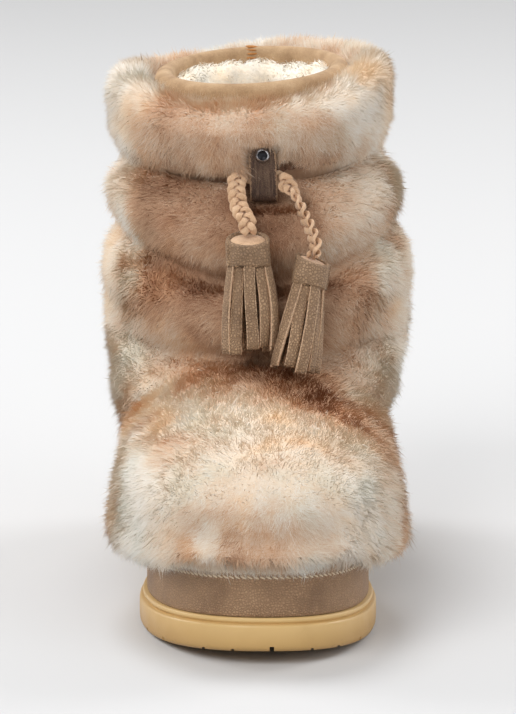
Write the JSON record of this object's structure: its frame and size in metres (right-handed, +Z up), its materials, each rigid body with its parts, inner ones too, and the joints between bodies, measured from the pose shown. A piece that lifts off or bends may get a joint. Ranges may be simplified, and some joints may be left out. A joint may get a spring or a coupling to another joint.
{
  "type": "fur boot",
  "caption": "Ankle-high right boot of shaggy two-tone fur with a turned-down fur cuff, leather rand, gum rubber sole, and a braided drawcord that ends in leather tassels.",
  "frame": {"origin": "on the floor, under the middle of the boot's bounding box", "axes": "+Z up; -Y towards the toe; +X towards the inner side of the right foot"},
  "size_m": [0.1378, 0.2952, 0.2191],
  "materials": {
    "gum_rubber": "satin honey-coloured gum rubber",
    "grained_leather": "matt taupe leather with a fine grain",
    "fleece": "cream-white curly fleece",
    "fur": "long soft fur, cream at the tips and peach-brown in the pile",
    "suede_binding": "matt tan suede",
    "braid_leather": "matt leather thongs in a flat braid",
    "dark_leather": "matt dark brown leather",
    "tassel_leather": "matt pebbled leather with pale raw edges",
    "metal": "dark polished steel cap"
  },
  "bodies": {
    "root": {"outsole": "gum_rubber", "rand": "grained_leather", "insole": "fleece", "upper": "fur", "cuff": "fur", "collar_binding": "suede_binding", "drawcord": "braid_leather", "tab": "dark_leather", "rivet": "metal", "side_loop_outer": "grained_leather", "side_loop_inner": "grained_leather", "cord_end_left": "braid_leather", "cord_end_right": "braid_leather", "tassel_sleeve_left": "tassel_leather", "tassel_fringe_left": "tassel_leather", "tassel_sleeve_right": "tassel_leather", "tassel_fringe_right": "tassel_leather"}
  },
  "joints": []
}
